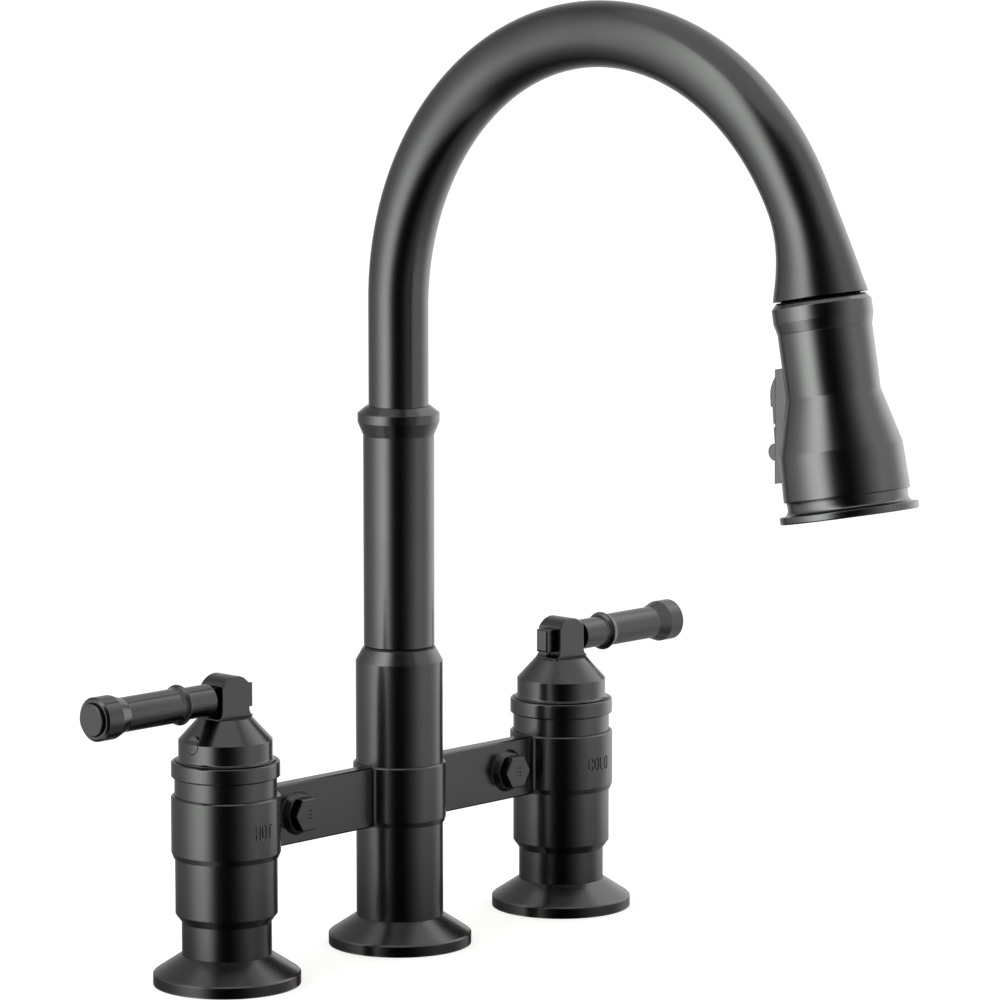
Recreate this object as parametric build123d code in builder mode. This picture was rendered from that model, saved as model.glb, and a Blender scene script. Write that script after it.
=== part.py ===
from build123d import *

import os
from math import cos, pi, radians, sin, sqrt

os.makedirs("parts", exist_ok=True)

# ---- Driving dimensions, in millimetres ----

# Layout: the middle column stands on the origin and the deck is the plane z = 0
handlePitch = 203.2          # between the hot and cold valve axes (8 in)
deckThickness = 30.0         # worktop that the clamping nuts are drawn up against
fitGap = 0.05                # radial clearance of pieces that are screwed or pressed together
runGap = 0.30                # clearance between pieces that move past each other

# Deck flanges and their sealing rings
flangeRadius = 30.4
flangeRimHeight = 4.45
flangeRimChamfer = 0.6
flangeTop = 12.6             # where the cone meets the neck
gasketInner = 16.5
gasketOuter = 26.0
gasketThickness = 1.8

# Valve columns
neckRadius = 18.45
neckTop = 26.1
valveBodyRadius = 21.0
valveBodyBase = 29.6         # lower end of the wide body, above its chamfer
valveBodyTop = 86.1
cartridgeSeat = 50.0
cartridgeRadius = 12.6
inletBoreRadius = 6.5
columnFoot = 2.0             # lower end of the columns, inside the flanges

# Threaded shanks below the deck
shankRadius = 14.0
shankLength = 48.0
supplyRadius = 10.4          # half-inch pipe thread
supplyLength = 20.0
shankSpigotRadius = 10.0
shankSpigotTop = 20.0
columnShankRadius = 16.0
columnShankLength = 62.0
columnShankSpigotRadius = 15.5
threadPitch = 1.8
threadDepth = 0.7

# Clamping hardware
washerThickness = 3.0
rubberThickness = 3.0
nutHeight = 9.0
nutFlats = 38.0
columnNutFlats = 44.0

# Bridge bar with its three collars
bridgeBottom = 52.9
bridgeTop = 78.6
barThickness = 6.35
barEdge = 0.6
valveCollarRadius = 22.47
columnCollarRadius = 19.7
collarTopChamfer = 0.6
collarBottomRise = 2.2       # height of the long chamfer under each collar
collarFillet = 2.4
channelHeight = 15.0
channelWidth = 3.2
boltInset = 38.1             # bolt axis to valve axis
bossBaseRadius = 9.2
bossTopRadius = 7.9
bossHeight = 2.8
boltFlats = 13.4
boltHeadHeight = 3.9
boltHeadChamfer = 0.45
boltShankRadius = 4.0
markHeight = 5.7             # letters on the valve collars
markDepth = 0.35
markReach = 1.0              # the cutting letters stand this far proud
letterWidth = 2.6
letterGap = 0.7
letterStroke = 0.65
gradeMarkLength = 3.0
gradeMarkWidth = 0.5
gradeMarkPitch = 1.6

# Bonnet rings
bonnetRadius = 22.33
bonnetLift = 0.3             # dark gap under the ring
bonnetHeight = 6.6
bonnetFootEdge = 0.6         # rounding of the lower rim
bonnetCrownRise = 1.2        # rounded shoulder of the upper rim
bonnetCrownStep = 1.3
bonnetBore = 11.0

# Handle hubs
hubRadius = 19.3
hubSide = 8.3                # side of the hub, with the small flare at its foot
hubFlareRise = 1.2
hubFlareStep = 1.6
landRadius = 10.9
hubCone = 9.3
hubWall = 3.0
cavityTopRadius = 11.5
cavityRise = 7.1
stemRadius = 4.5
stemCover = 2.9              # metal above the stem
stemLength = 27.0
bossRadius = 8.0
bossLength = 9.5
bossLift = 1.7               # lower end of the boss, above the rim
plugRadius = 3.5
plugRise = 7.9               # plug axis above the rim
plugGroove = 0.22
plugDepth = 5.0

# Arched lever blocks
blockWidth = 14.9
blockDepth = 12.9
blockShoulder = 5.9          # where the arched top begins, above the lever axis
blockArch = 9.3              # top of the arch, above the lever axis
blockEdge = 0.45
footFlare = 2.4              # the foot spreads this far along the lever
footFlareHeight = 4.2
footThickness = 0.5
footTrim = 0.5               # corners of the foot, outside the land of the hub

# Levers
leverRise = 8.1              # lever axis above the land of the hub
leverBarDepth = 6.5
leverBarHeight = 9.9
leverBarEdge = 1.0
nubLength = 5.4
leverGap = 3.0               # between the block and the round end of the lever
rootRadius = 6.55
beadRadius = 8.35
beadStart = 24.2
beadRise = 1.3
beadWidth = 1.5
beadFall = 2.9
beadRound = 0.5              # how far the crest of the bead is rounded down
gripRadius = 7.02
capConeStart = 57.8
capConeEnd = 63.6
capRadius = 8.96
leverEnd = 72.2
capEdge = 1.0
endDiscRadius = 6.6
endDiscHeight = 1.5
endDiscDepth = 3.0
endDiscGroove = 0.25
barReach = 26.0              # square bar inside the grip, from the valve axis
setScrewRadius = 2.0
setScrewLength = 4.0

# Column and swivel
columnTop = 121.9
shoulderRadius = 15.4
shoulderRise = 5.5
columnBoreRadius = 13.6
mixerBottom = 44.0
mixerTop = 86.0
mixerGroove = 2.2
hosePassRadius = 6.8
outletRadius = 2.8
outletOffset = 10.2
outletEnd = -132.0
outletKick = 24.0            # the free end stands this far from the column axis
outletBendTop = -70.0
outletBendFoot = -94.0
outletBendRadius = 18.0
outletWall = 0.85
ferruleRadius = 3.2
ferruleLength = 14.0
bushOuter = 14.0
bushLength = 37.4
bushFlange = 14.7
bushFlangeThickness = 0.45
spigotRadius = 12.5
postBoreRadius = 9.6
oringSection = 1.0
oringDrop = 13.4             # upper ring, below the top of the column
oringPitch = 12.0
clipThickness = 1.2
clipGap = 0.4                # under the bush
clipGrip = 0.6               # depth of its groove
spigotGap = 1.0              # between spigot and mixing insert

# Spout post and its collar
postRadius = 14.95
postGap = 0.25               # above the bush flange
postLength = 89.6
postEdge = 0.4
postThreadRadius = 14.2
postThreadLength = 8.3
spoutCollarRadius = 17.25
spoutCollarCone = 5.6
spoutCollarBand = 3.7
spoutCollarCrown = 3.0
spoutCollarTopRadius = 13.5

# Gooseneck
neckTubeRadius = 12.6
neckWall = 1.7
neckSocketDepth = 22.7       # of the tube inside the post
neckStraight = 42.9          # straight tube above the collar
backBendRadius = 115.5
backBendAngle = 116.0
frontBendRadius = 111.0
spoutTilt = 10.5             # outlet axis, measured from vertical
bendTubeRadius = 13.35       # the tube is slightly fuller round the bend
noseTubeRadius = 13.0
bellRadius = 18.6
bellLength = 35.0
bellStraight = 7.0           # straight part of the bell, past the bend

# Spray wand, along its own axis from the mouth of the bell
dockGap = 0.6
wandCollarRadius = 19.45
wandCollarTopRadius = 17.4
wandCollarEdge = 2.4
wandCollarCylinder = 5.4
wandCollarFall = 4.3
dockTipRadius = 12.6
dockBaseRadius = 15.6
dockLength = 11.0
wandNeckRadius = 18.42
wandNeckLength = 25.3
wandFlareLength = 21.3
wandSkirtRadius = 24.07
wandSkirtLength = 17.2
wandSkirtFlare = 0.55        # the skirt is this much wider at its foot
wandSkirtEdge = 0.6
shellLap = 0.9               # of the skirt over the face ring
wandWall = 1.8
grooveStep = 0.62            # groove floor, inside the skirt
grooveEntry = 1.6
grooveLength = 0.9
lipProud = 2.93
lipConcave = 2.7
lipShoulder = 1.0            # top of the lip, in from its rim
lipEdge = 0.45
lipThickness = 3.0
faceStep = 3.47              # spray face, inside the skirt
faceThickness = 2.0
faceRecess = 0.5
nozzleRadius = 0.85
nozzleHeight = 0.4             # the tips stay inside the lip
innerNozzleRing = 10.2
nozzlePitch = 3.8            # from one ring of nozzles to the next
nozzleCounts = (10, 15, 20)
aeratorRadius = 6.6
aeratorHoleWidth = 1.3
spigotLength = 6.0           # of the wand collar inside the shell
narrowRadius = 8.0
middleRadius = 13.0
wideStep = 3.27              # widest part, inside the bore of the skirt
narrowEnd = 30.0
middleStart = 42.0
middleEnd = 52.0
wideStart = 62.0
waterwayBore = 5.0
waterwayWall = 2.0

# Spray hose
hoseRadius = 5.6
hoseEnd = -150.0
hoseNutRadius = 7.2
hoseNutLength = 12.0
hoseNutNeck = 6.4
hoseNutSeat = 4.0            # length of its wide end
hoseBore = 3.5
fittingRadius = 8.0
fittingLength = 26.0
fittingTailRadius = 7.0
fittingTail = 14.0
fittingSocket = 8.0
magnetStart = 12.5           # up the bell from its mouth
magnetBore = 8.6
magnetLength = 5.0

# Spray rocker on the back of the wand, along the wand and outwards from its axis
panelStart = 25.5
panelEnd = 69.5
panelHalfWidth = 9.4
panelNearProud = 1.28        # above the neck of the wand
panelFarProud = 3.45         # above its skirt
panelEdge = 0.5
rockerStart = 28.7
rockerHalfWidth = 8.1
rockerClear = 0.4
rockerUnder = 1.7            # space under the rocker for its travel
padNear = 21.55
padShoulder = 31.0
padShoulderHeight = 23.4
padCrest = 37.3
padHeight = 25.15
padLip = 39.2                # the finger pad ends in a small step
padLipHeight = 25.5
padStep = 39.9
padStepHeight = 24.6
padEnd = 54.4
padFar = 25.95
ridgeCentre = 57.3
ridgeRadius = 3.4
ridgeProud = 2.23            # ridge centre, above the skirt
rockerPivot = 47.0
rockerPivotOut = 24.2
pinRadius = 0.8

# ---- Sizes worked out from the ones above ----

valveOffset = handlePitch / 2
deckUnder = -deckThickness
bonnetBottom = valveBodyTop + bonnetLift
bonnetTop = bonnetBottom + bonnetHeight
hubBase = bonnetTop + runGap
hubShoulder = hubBase + hubSide
landTop = hubShoulder + hubCone
cavityShoulder = hubBase + cavityRise
bossFloor = hubBase + bossLift
bossTop = bossFloor + bossLength
stemTop = landTop - stemCover
stemFoot = stemTop - stemLength
plugHeight = hubBase + plugRise
leverHeight = landTop + leverRise
blockSpring = leverHeight + blockShoulder
blockCrown = leverHeight + blockArch
shoulderTop = columnTop + shoulderRise
bushBottom = shoulderTop - bushLength
oringHeights = (shoulderTop - oringDrop - oringPitch, shoulderTop - oringDrop)
postBottom = shoulderTop + bushFlangeThickness + postGap
postTop = postBottom + postLength
postThreadTop = postTop + postThreadLength
spoutCollarConeTop = postTop + spoutCollarCone
spoutCollarEdge = spoutCollarConeTop + spoutCollarBand
spoutCollarTop = spoutCollarEdge + spoutCollarCrown
neckSocket = postTop - neckSocketDepth
bendStart = spoutCollarTop + neckStraight
shankFoot = columnFoot - shankLength
barMiddle = (bridgeBottom + bridgeTop) / 2
barFront = -barThickness / 2
bossFront = barFront - bossHeight
sides = ((-1, "hot"), (1, "cold"))

# outlet axis of the gooseneck, from the end of its bends
outletDirection = Vector(0, -sin(radians(spoutTilt)), -cos(radians(spoutTilt)))


def upright(x):
    """Drawing plane through a vertical axis at x: first coordinate out, second up."""
    return Plane(origin=(x, 0, 0), x_dir=(1, 0, 0), z_dir=(0, -1, 0))


def verticalAxis(x):
    return Axis((x, 0, 0), (0, 0, 1))


def threadedRod(radius, top, bottom, core):
    """Outline of a cut thread down one side of a rod, from top to bottom."""
    turns = int((top - bottom) / threadPitch)
    pitch = (top - bottom) / turns
    points = [(core, top), (radius - threadDepth, top)]
    for turn in range(turns):
        start = top - turn * pitch
        points += [(radius, start - pitch * 0.3), (radius, start - pitch * 0.5),
                   (radius - threadDepth, start - pitch * 0.8)]
    return points + [(radius - threadDepth, bottom), (core, bottom)]


# ---- Deck flanges ----

for x, name in ((-valveOffset, "hot_flange"), (0, "column_flange"), (valveOffset, "cold_flange")):
    bore = neckRadius + fitGap
    recess = gasketOuter + fitGap
    with BuildPart() as flange:
        with BuildSketch(upright(x)):
            with BuildLine():
                Polyline((bore, gasketThickness), (recess, gasketThickness), (recess, 0),
                         (flangeRadius, 0), (flangeRadius, flangeRimHeight),
                         (flangeRadius - flangeRimChamfer, flangeRimHeight + flangeRimChamfer),
                         (bore, flangeTop), close=True)
            make_face()
        revolve(axis=verticalAxis(x))
    flange.part.label = name
    export_step(flange.part, f"parts/{name}.step")

# Rubber sealing rings, flush with the flange rims
with BuildPart() as gaskets:
    with BuildSketch():
        with Locations((-valveOffset, 0), (0, 0), (valveOffset, 0)):
            Circle(gasketOuter)
            Circle(gasketInner, mode=Mode.SUBTRACT)
    extrude(amount=gasketThickness)
gaskets.part.label = "flange_gaskets"
export_step(gaskets.part, "parts/flange_gaskets.step")

# ---- Valve columns ----

cartridgeBore = cartridgeRadius + fitGap
for side, name in sides:
    x = side * valveOffset
    with BuildPart() as valveBody:
        with BuildSketch(upright(x)):
            with BuildLine():
                Polyline((shankSpigotRadius + fitGap, columnFoot), (neckRadius, columnFoot),
                         (neckRadius, neckTop), (valveBodyRadius, valveBodyBase),
                         (valveBodyRadius, valveBodyTop), (cartridgeBore, valveBodyTop),
                         (cartridgeBore, cartridgeSeat), (inletBoreRadius, cartridgeSeat),
                         (inletBoreRadius, shankSpigotTop + fitGap),
                         (shankSpigotRadius + fitGap, shankSpigotTop + fitGap), close=True)
            make_face()
        revolve(axis=verticalAxis(x))
        # side port into the bridge channel
        with Locations(Location((x - side * valveBodyRadius, 0, barMiddle), (0, 90, 0))):
            Cylinder(channelWidth / 2, valveBodyRadius, mode=Mode.SUBTRACT)
    valveBody.part.label = f"{name}_valve_body"
    export_step(valveBody.part, f"parts/{name}_valve_body.step")

    # threaded shank through the deck, ending in the supply thread
    with BuildPart() as shank:
        with BuildSketch(upright(x)):
            with BuildLine():
                Polyline((inletBoreRadius, shankSpigotTop), (shankSpigotRadius, shankSpigotTop),
                         (shankSpigotRadius, columnFoot),
                         *threadedRod(shankRadius, columnFoot, shankFoot, supplyRadius)[1:-1],
                         (supplyRadius, shankFoot), (supplyRadius, shankFoot - supplyLength),
                         (inletBoreRadius, shankFoot - supplyLength), close=True)
            make_face()
        revolve(axis=verticalAxis(x))
    shank.part.label = f"{name}_shank"
    export_step(shank.part, f"parts/{name}_shank.step")

    # quarter-turn ceramic cartridge with a hole for its stem
    with BuildPart() as cartridge:
        with BuildSketch(upright(x)):
            with BuildLine():
                Polyline((inletBoreRadius, cartridgeSeat), (cartridgeRadius, cartridgeSeat),
                         (cartridgeRadius, valveBodyTop), (bonnetBore - fitGap, valveBodyTop),
                         (bonnetBore - fitGap, bonnetTop - fitGap), (stemRadius + fitGap, bonnetTop - fitGap),
                         (stemRadius + fitGap, valveBodyTop - stemRadius),
                         (inletBoreRadius, valveBodyTop - stemRadius), close=True)
            make_face()
        revolve(axis=verticalAxis(x))
        with Locations(Location((x - side * cartridgeRadius, 0, barMiddle), (0, 90, 0))):
            Cylinder(channelWidth / 2, cartridgeRadius, mode=Mode.SUBTRACT)
    cartridge.part.label = f"{name}_cartridge"
    export_step(cartridge.part, f"parts/{name}_cartridge.step")

    # bonnet ring that holds the cartridge down
    with BuildPart() as bonnet:
        with BuildSketch(upright(x)):
            with BuildLine():
                shoulder = bonnetTop - bonnetCrownRise
                Line((bonnetBore, bonnetBottom), (bonnetRadius - bonnetFootEdge, bonnetBottom))
                Bezier((bonnetRadius - bonnetFootEdge, bonnetBottom), (bonnetRadius, bonnetBottom),
                       (bonnetRadius, bonnetBottom + bonnetFootEdge))
                Line((bonnetRadius, bonnetBottom + bonnetFootEdge), (bonnetRadius, shoulder))
                Bezier((bonnetRadius, shoulder), (bonnetRadius, bonnetTop),
                       (bonnetRadius - bonnetCrownStep, bonnetTop))
                Polyline((bonnetRadius - bonnetCrownStep, bonnetTop), (bonnetBore, bonnetTop),
                         (bonnetBore, bonnetBottom))
            make_face()
        revolve(axis=verticalAxis(x))
    bonnet.part.label = f"{name}_bonnet"
    export_step(bonnet.part, f"parts/{name}_bonnet.step")

# ---- Middle column ----

mixerRadius = columnBoreRadius - fitGap
bushBore = bushOuter + fitGap
with BuildPart() as column:
    with BuildSketch(upright(0)):
        with BuildLine():
            Polyline((columnShankSpigotRadius + fitGap, columnFoot), (neckRadius, columnFoot),
                     (neckRadius, columnTop), (shoulderRadius, shoulderTop), (bushBore, shoulderTop),
                     (bushBore, mixerTop), (columnBoreRadius, mixerTop),
                     (columnBoreRadius, shankSpigotTop + fitGap),
                     (columnShankSpigotRadius + fitGap, shankSpigotTop + fitGap), close=True)
        make_face()
    revolve(axis=verticalAxis(0))
    with Locations(Location((0, 0, barMiddle), (0, 90, 0))):
        Cylinder(channelWidth / 2, 2 * neckRadius, mode=Mode.SUBTRACT)
column.part.label = "spout_column"
export_step(column.part, "parts/spout_column.step")

columnShankFoot = columnFoot - columnShankLength
with BuildPart() as columnShank:
    with BuildSketch(upright(0)):
        with BuildLine():
            Polyline((columnBoreRadius, shankSpigotTop), (columnShankSpigotRadius, shankSpigotTop),
                     (columnShankSpigotRadius, columnFoot),
                     *threadedRod(columnShankRadius, columnFoot, columnShankFoot, columnBoreRadius)[1:],
                     close=True)
        make_face()
    revolve(axis=verticalAxis(0))
columnShank.part.label = "column_shank"
export_step(columnShank.part, "parts/column_shank.step")

# Mixing insert: collects both sides in a ring groove and sends them down one tube
grooveHalf = channelHeight / 2
with BuildPart() as mixer:
    with BuildSketch(upright(0)):
        with BuildLine():
            Polyline((hosePassRadius, mixerBottom), (mixerRadius, mixerBottom),
                     (mixerRadius, barMiddle - grooveHalf), (mixerRadius - mixerGroove, barMiddle - grooveHalf),
                     (mixerRadius - mixerGroove, barMiddle + grooveHalf), (mixerRadius, barMiddle + grooveHalf),
                     (mixerRadius, mixerTop), (hosePassRadius, mixerTop), close=True)
        make_face()
    revolve(axis=verticalAxis(0))
    with BuildSketch(Plane.XY.offset(mixerBottom)):
        with Locations((0, outletOffset)):
            Circle(outletRadius + fitGap)
    extrude(amount=barMiddle - mixerBottom, mode=Mode.SUBTRACT)
mixer.part.label = "mixing_insert"
export_step(mixer.part, "parts/mixing_insert.step")

# Mixed-water tube, down beside the hose and out to its free end
ferruleTop = outletEnd + ferruleLength
with BuildPart() as outlet:
    outletTop = mixerBottom + grooveHalf
    with BuildLine(Plane.YZ) as outletRoute:
        FilletPolyline((outletOffset, outletTop), (outletOffset, outletBendTop), (outletKick, outletBendFoot),
                       (outletKick, outletEnd), radius=outletBendRadius)
    with BuildSketch(Plane.XY.offset(outletTop)):
        with Locations((0, outletOffset)):
            Circle(outletRadius)
            Circle(outletRadius - outletWall, mode=Mode.SUBTRACT)
    sweep(path=outletRoute.line)
    with BuildSketch(Plane.XY.offset(ferruleTop)):
        with Locations((0, outletKick)):
            Circle(ferruleRadius)
            Circle(outletRadius - outletWall, mode=Mode.SUBTRACT)
    extrude(amount=-ferruleLength)
outlet.part.label = "outlet_tube"
export_step(outlet.part, "parts/outlet_tube.step")

# Low-friction bush that the spout turns in
with BuildPart() as bush:
    with BuildSketch(upright(0)):
        with BuildLine():
            Polyline((spigotRadius + fitGap, bushBottom), (bushOuter, bushBottom),
                     (bushOuter, shoulderTop), (bushFlange, shoulderTop),
                     (bushFlange, shoulderTop + bushFlangeThickness),
                     (spigotRadius + fitGap, shoulderTop + bushFlangeThickness), close=True)
        make_face()
    revolve(axis=verticalAxis(0))
bush.part.label = "swivel_bush"
export_step(bush.part, "parts/swivel_bush.step")

# ---- Bridge bar: one piece with its three collars ----


def strokeLetter(letter):
    """One plain narrow letter, centred on the sketch origin, drawn into the open sketch."""
    w, h, t = letterWidth, markHeight, letterStroke
    if letter in "HDL":
        with Locations(((t - w) / 2, 0)):
            Rectangle(t, h)
    if letter == "H":
        with Locations(((w - t) / 2, 0)):
            Rectangle(t, h)
        Rectangle(w, t)
    if letter == "T":
        Rectangle(t, h)
        with Locations((0, (h - t) / 2)):
            Rectangle(w, t)
    if letter == "L":
        with Locations((0, (t - h) / 2)):
            Rectangle(w, t)
    if letter in "OCD":
        RectangleRounded(w, h, w * 0.45)
        RectangleRounded(w - 2 * t, h - 2 * t, (w - 2 * t) * 0.45, mode=Mode.SUBTRACT)
    if letter == "C":
        with Locations(((w - t) / 2, 0)):
            Rectangle(t, h * 0.3, mode=Mode.SUBTRACT)
    if letter == "D":
        with Locations(((t - w) / 2, 0)):
            Rectangle(t, h)
        with Locations((-w / 4, (h - t) / 2), (-w / 4, (t - h) / 2)):
            Rectangle(w / 2, t)


def collarOutline(x, inner, outer):
    """Section of one collar, chamfered below and broken at the top."""
    with BuildSketch(upright(x)) as outline:
        with BuildLine():
            Polyline((inner, bridgeBottom), (inner, bridgeTop), (outer - collarTopChamfer, bridgeTop),
                     (outer, bridgeTop - collarTopChamfer), (outer, bridgeBottom + collarBottomRise),
                     (inner + barEdge, bridgeBottom), close=True)
        make_face()
    return outline.sketch


# Letters for the valve collars, cut to an even depth round the collar
marks = []
for side, word in ((-1, "HOT"), (1, "COLD")):
    x = side * valveOffset
    with BuildPart() as mark:
        with BuildSketch(Plane(origin=(x, -valveCollarRadius - markReach, barMiddle), x_dir=(1, 0, 0), z_dir=(0, -1, 0))):
            for index, letter in enumerate(word):
                with Locations(((index - (len(word) - 1) / 2) * (letterWidth + letterGap), 0)):
                    strokeLetter(letter)
        extrude(amount=-valveCollarRadius / 2)
        with BuildSketch(Plane.XY.offset(bridgeBottom)):
            with Locations((x, 0)):
                Circle(valveCollarRadius + markReach)
                Circle(valveCollarRadius - markDepth, mode=Mode.SUBTRACT)
        extrude(amount=bridgeTop - bridgeBottom, mode=Mode.INTERSECT)
    marks.append(mark.part)

valveBore = valveBodyRadius + fitGap
columnBore = neckRadius + fitGap
barSpan = 2 * valveOffset
with BuildPart() as bridge:
    with BuildSketch(Plane.XY.offset(bridgeBottom)):
        Rectangle(barSpan, barThickness)
    extrude(amount=bridgeTop - bridgeBottom)
    chamfer(bridge.edges().filter_by(Axis.X), barEdge)
    for x, inner, outer in ((-valveOffset, valveBore, valveCollarRadius), (0, columnBore, columnCollarRadius),
                            (valveOffset, valveBore, valveCollarRadius)):
        add(collarOutline(x, inner, outer))
        revolve(axis=verticalAxis(x))
    # corner webs where the bar runs into each collar
    for x, outer in ((-valveOffset, valveCollarRadius), (0, columnCollarRadius), (valveOffset, valveCollarRadius)):
        reach = sqrt((outer + collarFillet) ** 2 - (barThickness / 2 + collarFillet) ** 2)
        height = barThickness / 2 + collarFillet
        touch = outer / (outer + collarFillet)
        for way in (-1, 1):
            if abs(x + way * reach) > valveOffset:
                continue
            with BuildSketch(Plane.XY.offset(bridgeBottom + collarBottomRise)):
                for face in (-1, 1):
                    with BuildLine():
                        corner = (x + way * reach, face * barThickness / 2)
                        meet = (x + way * reach * touch, face * height * touch)
                        Line(corner, (x + way * reach * touch, 0))
                        Line((x + way * reach * touch, 0), meet)
                        RadiusArc(meet, corner, way * face * collarFillet)
                    make_face()
            extrude(amount=bridgeTop - bridgeBottom - collarBottomRise - barEdge)
    # bosses under the bolts
    bossPlane = Plane(origin=(0, barFront, barMiddle), x_dir=(1, 0, 0), z_dir=(0, -1, 0))
    for side, name in sides:
        boltX = side * (valveOffset - boltInset)
        with BuildSketch(bossPlane):
            with Locations((boltX, 0)):
                Circle(bossBaseRadius)
        with BuildSketch(bossPlane.offset(bossHeight)):
            with Locations((boltX, 0)):
                Circle(bossTopRadius)
        loft()
    bossRims = bridge.edges().filter_by(GeomType.CIRCLE).filter_by_position(Axis.Y, bossFront, bossFront)
    fillet(bossRims, bossHeight / 3)
    # bores over the columns
    for x, inner in ((-valveOffset, valveBore), (0, columnBore), (valveOffset, valveBore)):
        with BuildSketch(Plane.XY.offset(bridgeBottom)):
            with Locations((x, 0)):
                Circle(inner)
        extrude(amount=bridgeTop - bridgeBottom, mode=Mode.SUBTRACT)
    # hollow water channel along the bar, and the threaded holes of the bolts
    with BuildSketch(Plane.YZ.offset(-valveOffset)):
        with Locations((0, barMiddle)):
            Rectangle(channelWidth, channelHeight)
    extrude(amount=2 * valveOffset, mode=Mode.SUBTRACT)
    with BuildSketch(bossPlane.offset(bossHeight)):
        with Locations(*((side * (valveOffset - boltInset), 0) for side, name in sides)):
            Circle(boltShankRadius + fitGap)
    extrude(amount=-(bossHeight + (barThickness - channelWidth) / 2), mode=Mode.SUBTRACT)
    # letters on the front of the valve collars
    for mark in marks:
        add(mark, mode=Mode.SUBTRACT)
bridge.part.label = "bridge_bar"
export_step(bridge.part, "parts/bridge_bar.step")
print("bridge", bridge.part.volume, len(bridge.part.solids()))

# Hexagon plug bolts, marked with plain dashes
with BuildPart() as bolts:
    for side, name in sides:
        facePlane = bossPlane.offset(bossHeight)
        boltX = side * (valveOffset - boltInset)
        with BuildSketch(facePlane):
            with Locations((boltX, 0)):
                RegularPolygon(boltFlats / 2, 6, major_radius=False)
        extrude(amount=boltHeadHeight)
        with BuildSketch(facePlane):
            with Locations((boltX, 0)):
                Circle(boltShankRadius)
        extrude(amount=-(bossHeight + (barThickness - channelWidth) / 2))
    rims = bolts.edges().filter_by_position(Axis.Y, bossFront - boltHeadHeight, bossFront - boltHeadHeight)
    chamfer(rims, boltHeadChamfer)
    with BuildSketch(bossPlane.offset(bossHeight + boltHeadHeight)):
        for side, name in sides:
            with Locations((side * (valveOffset - boltInset), 0)):
                with Locations((0, gradeMarkPitch), (0, 0), (0, -gradeMarkPitch)):
                    Rectangle(gradeMarkLength, gradeMarkWidth)
    extrude(amount=-markDepth, mode=Mode.SUBTRACT)
bolts.part.label = "bridge_bolts"
export_step(bolts.part, "parts/bridge_bolts.step")

# ---- Clamping hardware below the deck ----

stacks = ((-valveOffset, shankRadius), (0, columnShankRadius), (valveOffset, shankRadius))
rubberFoot = deckUnder - rubberThickness
washerFoot = rubberFoot - washerThickness
for name, top, amount, spread in (("rubber_washers", deckUnder, rubberThickness, 25.0),
                                  ("steel_washers", rubberFoot, washerThickness, 26.0)):
    with BuildPart() as washers:
        with BuildSketch(Plane.XY.offset(top)):
            for x, radius in stacks:
                with Locations((x, 0)):
                    Circle(spread)
                    Circle(radius + fitGap, mode=Mode.SUBTRACT)
        extrude(amount=-amount)
    washers.part.label = name
    export_step(washers.part, f"parts/{name}.step")


# Hexagon nuts with round seats, drawn up against the washers
for name, places, radius, flats in (
        ("valve_nuts", (-valveOffset, valveOffset), shankRadius, nutFlats),
        ("column_nut", (0,), columnShankRadius, columnNutFlats)):
    seatHeight = washerThickness / 2
    with BuildPart() as nuts:
        with BuildSketch(Plane.XY.offset(washerFoot - seatHeight)):
            for x in places:
                with Locations((x, 0)):
                    RegularPolygon(flats / 2, 6, major_radius=False)
                    Circle(radius + fitGap, mode=Mode.SUBTRACT)
        extrude(amount=-nutHeight)
        with BuildSketch(Plane.XY.offset(washerFoot)):
            for x in places:
                with Locations((x, 0)):
                    Circle(flats / 2)
                    Circle(radius + fitGap, mode=Mode.SUBTRACT)
        extrude(amount=-seatHeight)
    nuts.part.label = name
    export_step(nuts.part, f"parts/{name}.step")

# ---- Spout post, its seals and clip ----

spigotBottom = mixerTop + spigotGap
clipBottom = bushBottom - clipGap - clipThickness
clipFloor = spigotRadius - clipGrip
socketRadius = neckTubeRadius + fitGap
grooveFloor = spigotRadius - 2 * oringSection - fitGap
grooveReach = oringSection + fitGap
with BuildPart() as post:
    with BuildSketch(upright(0)):
        with BuildLine():
            grooves = []
            for height in oringHeights:
                grooves += [(spigotRadius, height - grooveReach), (grooveFloor, height - grooveReach),
                            (grooveFloor, height + grooveReach), (spigotRadius, height + grooveReach)]
            Polyline((postBoreRadius, spigotBottom), (spigotRadius, spigotBottom),
                     (spigotRadius, clipBottom), (clipFloor, clipBottom),
                     (clipFloor, clipBottom + clipThickness), (spigotRadius, clipBottom + clipThickness),
                     *grooves, (spigotRadius, postBottom), (postRadius - postEdge, postBottom),
                     (postRadius, postBottom + postEdge), (postRadius, postTop),
                     (postThreadRadius, postTop), (postThreadRadius, postThreadTop),
                     (socketRadius, postThreadTop), (socketRadius, neckSocket),
                     (postBoreRadius, neckSocket), close=True)
        make_face()
    revolve(axis=verticalAxis(0))
post.part.label = "spout_post"
export_step(post.part, "parts/spout_post.step")

with BuildPart() as orings:
    for height in oringHeights:
        with BuildSketch(upright(0)):
            with Locations((spigotRadius - oringSection - fitGap, height)):
                Circle(oringSection)
        revolve(axis=verticalAxis(0))
orings.part.label = "spout_orings"
export_step(orings.part, "parts/spout_orings.step")

# open spring clip that keeps the spigot in the column
clipReach = bushBore - runGap
with BuildPart() as clip:
    with BuildSketch(Plane.XY.offset(clipBottom + fitGap)):
        Circle(clipReach)
        Circle(clipFloor + fitGap, mode=Mode.SUBTRACT)
        with Locations((0, clipReach)):
            Rectangle(clipReach / 3, clipReach, mode=Mode.SUBTRACT)
    extrude(amount=clipThickness - 2 * fitGap)
clip.part.label = "retaining_clip"
export_step(clip.part, "parts/retaining_clip.step")

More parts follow.
